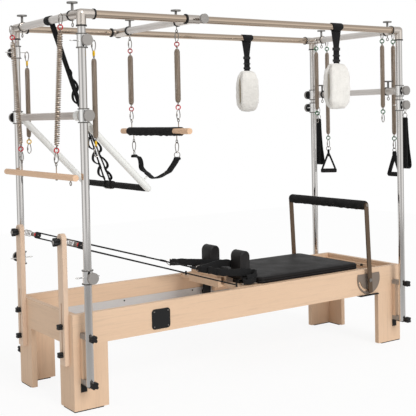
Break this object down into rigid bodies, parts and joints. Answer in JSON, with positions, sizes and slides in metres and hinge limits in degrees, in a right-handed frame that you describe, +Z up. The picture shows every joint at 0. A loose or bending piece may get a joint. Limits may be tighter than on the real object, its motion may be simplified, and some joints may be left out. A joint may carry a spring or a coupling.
{
  "type": "pilates trapeze table",
  "caption": "Wooden pilates table with a wheeled padded carriage under a metal tube canopy, with springs, trapeze, push-through bar, foot bar and straps.",
  "frame": {"origin": "on the floor under the middle of the wooden frame, which is the middle of the whole table to within 17 mm", "axes": "+X along the table towards the foot bar end, +Y across it away from the bare side plate, +Z up"},
  "size_m": [2.5688, 0.992, 2.153],
  "materials": {
    "birch_board": "satin",
    "dowel_wood": "satin",
    "rubber": "matte",
    "track_aluminium": "satin",
    "silver_tube": "polished",
    "champagne_tube": "satin",
    "grey_tube": "matte",
    "black_plastic": "matte",
    "black_metal": "matte",
    "grey_metal": "hammered",
    "taupe_metal": "satin",
    "bronze_metal": "satin",
    "white_metal": "satin",
    "spring_steel": "satin",
    "bright_steel": "satin",
    "black_vinyl": "satin",
    "black_foam": "matte",
    "black_webbing": "woven",
    "rope": "braided",
    "fleece": "fleecy"
  },
  "bodies": {
    "table": {"side_rails": "birch_board", "end_boards": "birch_board", "leg_boards": "birch_board", "rubber_pads": "rubber", "carriage_tracks": "track_aluminium", "side_plate": "black_plastic", "pole_battens": "birch_board", "pole_brackets": "grey_metal", "clamp_knobs": "black_plastic", "uprights": "silver_tube", "corner_fittings": "champagne_tube", "top_tubes": "champagne_tube", "top_cross_tubes": "grey_tube", "socket_rings": "black_plastic", "tee_screws": "grey_metal", "footbar_plates": "taupe_metal", "spring_bar": "bright_steel", "carriage_springs": "spring_steel", "rope_near": "rope", "rope_far": "rope", "safety_strap": "black_webbing"},
    "carriage": {"carriage_frame": "birch_board", "carriage_pad": "black_vinyl", "wheel_brackets": "black_metal", "hand_loops": "black_webbing"},
    "head_rest": {"headrest": "black_vinyl"},
    "shoulder_near": {"shoulder_rest_near": "black_vinyl"},
    "shoulder_far": {"shoulder_rest_far": "black_vinyl"},
    "front_wheels": {"wheels_front": "black_plastic"},
    "rear_wheels": {"wheels_rear": "black_plastic"},
    "foot_bar": {"footbar_frame": "bronze_metal"},
    "foot_roller": {"footbar_grip": "black_foam"},
    "head_cross_tube": {"left_crossbar": "grey_tube"},
    "push_through_bar": {"push_bar": "white_metal", "push_grip": "black_foam"},
    "trapeze_sleeves": {"trapeze_carrier": "grey_tube"},
    "trapeze": {"trapeze_springs": "spring_steel", "trapeze_bar": "dowel_wood", "trapeze_foam": "black_foam"},
    "trapeze_sling": {"sling": "black_webbing"},
    "roll_down": {"rolldown_springs": "spring_steel", "rolldown_bar": "dowel_wood"},
    "side_spring_near": {"side_spring_near": "spring_steel"},
    "side_spring_far": {"side_spring_far": "spring_steel"},
    "arm_spring_near": {"arm_spring_near": "spring_steel"},
    "arm_spring_far": {"arm_spring_far": "spring_steel"},
    "handle_near": {"handle_spring_near": "spring_steel"},
    "handle_far": {"handle_spring_far": "spring_steel"},
    "foot_loop_near": {"foot_loop_near": "black_webbing"},
    "foot_loop_far": {"foot_loop_far": "black_webbing"},
    "fleece_near": {"fleece_loop_near": "fleece"},
    "fleece_far": {"fleece_loop_far": "fleece"},
    "head_top_collars": {"sliders_top_left": "grey_metal"},
    "head_low_collars": {"sliders_low_left": "grey_metal"},
    "foot_collars": {"sliders_right": "grey_metal"},
    "foot_cross_tube": {"right_crossbar": "grey_tube"},
    "risers": {"riser_posts": "dowel_wood", "riser_knobs": "black_plastic", "pulley_blocks": "bright_steel"},
    "sheaves": {"pulley_sheaves": "black_plastic"}
  },
  "joints": [
    {"name": "carriage_slide", "type": "slide", "parent": "table", "child": "carriage", "axis": [-1, 0, 0], "range_m": [0, 0.8], "stiffness_N_per_m": 600, "springref_m": -0.05, "deforming": ["carriage_springs", "rope_near", "rope_far"]},
    {"name": "head_rest_tilt", "type": "hinge", "parent": "carriage", "child": "head_rest", "pos_m": [0.05, 0, 0.5563], "axis": [0, 1, 0], "range_deg": [0, 30], "deforming": ["hand_loops"]},
    {"name": "shoulder_near_lift", "type": "slide", "parent": "carriage", "child": "shoulder_near", "axis": [0, 0, 1], "range_m": [0, 0.12]},
    {"name": "shoulder_far_lift", "type": "slide", "parent": "carriage", "child": "shoulder_far", "axis": [0, 0, 1], "range_m": [0, 0.12]},
    {"name": "front_wheel_spin", "type": "hinge", "parent": "carriage", "child": "front_wheels", "pos_m": [0.075, 0, 0.3793], "axis": [0, -1, 0], "continuous": true},
    {"name": "rear_wheel_spin", "type": "hinge", "parent": "carriage", "child": "rear_wheels", "pos_m": [0.82, 0, 0.3793], "axis": [0, -1, 0], "continuous": true},
    {"name": "foot_bar_fold", "type": "hinge", "parent": "table", "child": "foot_bar", "pos_m": [0.916, 0, 0.447], "axis": [0, 1, 0], "range_deg": [0, 80]},
    {"name": "foot_roller_spin", "type": "hinge", "parent": "foot_bar", "child": "foot_roller", "pos_m": [0.892, 0, 0.94], "axis": [0, 1, 0], "continuous": true},
    {"name": "head_cross_tube_height", "type": "slide", "parent": "table", "child": "head_cross_tube", "axis": [0, 0, 1], "range_m": [-0.25, 0.2], "deforming": ["safety_strap"]},
    {"name": "push_through_swing", "type": "hinge", "parent": "head_cross_tube", "child": "push_through_bar", "pos_m": [-1.164, 0, 1.558], "axis": [0, -1, 0], "range_deg": [0, 100], "deforming": ["safety_strap"]},
    {"name": "trapeze_slide", "type": "slide", "parent": "table", "child": "trapeze_sleeves", "axis": [1, 0, 0], "range_m": [-0.15, 0.3]},
    {"name": "trapeze_swing", "type": "hinge", "parent": "trapeze_sleeves", "child": "trapeze", "pos_m": [-0.48, 0, 2.0215], "axis": [0, 1, 0], "range_deg": [-25, 25]},
    {"name": "sling_swing", "type": "hinge", "parent": "trapeze", "child": "trapeze_sling", "pos_m": [-0.48, 0, 1.3905], "axis": [0, 1, 0], "range_deg": [-30, 30]},
    {"name": "roll_down_swing", "type": "hinge", "parent": "table", "child": "roll_down", "pos_m": [-1.231, 0, 2.083], "axis": [0, 1, 0], "range_deg": [0, 60]},
    {"name": "side_spring_near_swing", "type": "hinge", "parent": "head_top_collars", "child": "side_spring_near", "pos_m": [-1.097, -0.428, 1.943], "axis": [0, -1, 0], "range_deg": [0, 30]},
    {"name": "arm_spring_near_swing", "type": "hinge", "parent": "table", "child": "arm_spring_near", "pos_m": [1.112, -0.328, 2.083], "axis": [0, 1, 0], "range_deg": [0, 30]},
    {"name": "handle_near_swing", "type": "hinge", "parent": "table", "child": "handle_near", "pos_m": [1.216, -0.328, 2.083], "axis": [0, -1, 0], "range_deg": [0, 30]},
    {"name": "foot_loop_near_swing", "type": "hinge", "parent": "foot_collars", "child": "foot_loop_near", "pos_m": [1.216, -0.428, 1.59], "axis": [0, -1, 0], "range_deg": [0, 40]},
    {"name": "fleece_near_swing", "type": "hinge", "parent": "table", "child": "fleece_near", "pos_m": [0.604, -0.428, 2.083], "axis": [1, 0, 0], "range_deg": [-25, 25]},
    {"name": "side_spring_far_swing", "type": "hinge", "parent": "head_top_collars", "child": "side_spring_far", "pos_m": [-1.097, 0.428, 1.943], "axis": [0, -1, 0], "range_deg": [0, 30]},
    {"name": "arm_spring_far_swing", "type": "hinge", "parent": "table", "child": "arm_spring_far", "pos_m": [1.112, 0.328, 2.083], "axis": [0, 1, 0], "range_deg": [0, 30]},
    {"name": "handle_far_swing", "type": "hinge", "parent": "table", "child": "handle_far", "pos_m": [1.216, 0.328, 2.083], "axis": [0, -1, 0], "range_deg": [0, 30]},
    {"name": "foot_loop_far_swing", "type": "hinge", "parent": "foot_collars", "child": "foot_loop_far", "pos_m": [1.216, 0.428, 1.59], "axis": [0, -1, 0], "range_deg": [0, 40]},
    {"name": "fleece_far_swing", "type": "hinge", "parent": "table", "child": "fleece_far", "pos_m": [0.552, 0.428, 2.083], "axis": [1, 0, 0], "range_deg": [-25, 25]},
    {"name": "head_top_collar_height", "type": "slide", "parent": "table", "child": "head_top_collars", "axis": [0, 0, 1], "range_m": [-0.2, 0.03]},
    {"name": "head_low_collar_height", "type": "slide", "parent": "table", "child": "head_low_collars", "axis": [0, 0, 1], "range_m": [-0.2, 0.4]},
    {"name": "foot_collar_height", "type": "slide", "parent": "table", "child": "foot_collars", "axis": [0, 0, 1], "range_m": [-0.5, 0]},
    {"name": "foot_cross_tube_height", "type": "slide", "parent": "table", "child": "foot_cross_tube", "axis": [0, 0, 1], "range_m": [0, 0.2]},
    {"name": "riser_height", "type": "slide", "parent": "table", "child": "risers", "axis": [0, 0, 1], "range_m": [-0.12, 0], "deforming": ["rope_near", "rope_far"]},
    {"name": "sheave_spin", "type": "hinge", "parent": "risers", "child": "sheaves", "pos_m": [-1.12797, 0, 0.86798], "axis": [0, 1, 0], "continuous": true}
  ],
  "couplings": [
    {"joint": "front_wheel_spin", "follows": "carriage_slide", "rad_per_m": 40},
    {"joint": "rear_wheel_spin", "follows": "carriage_slide", "rad_per_m": 40}
  ]
}
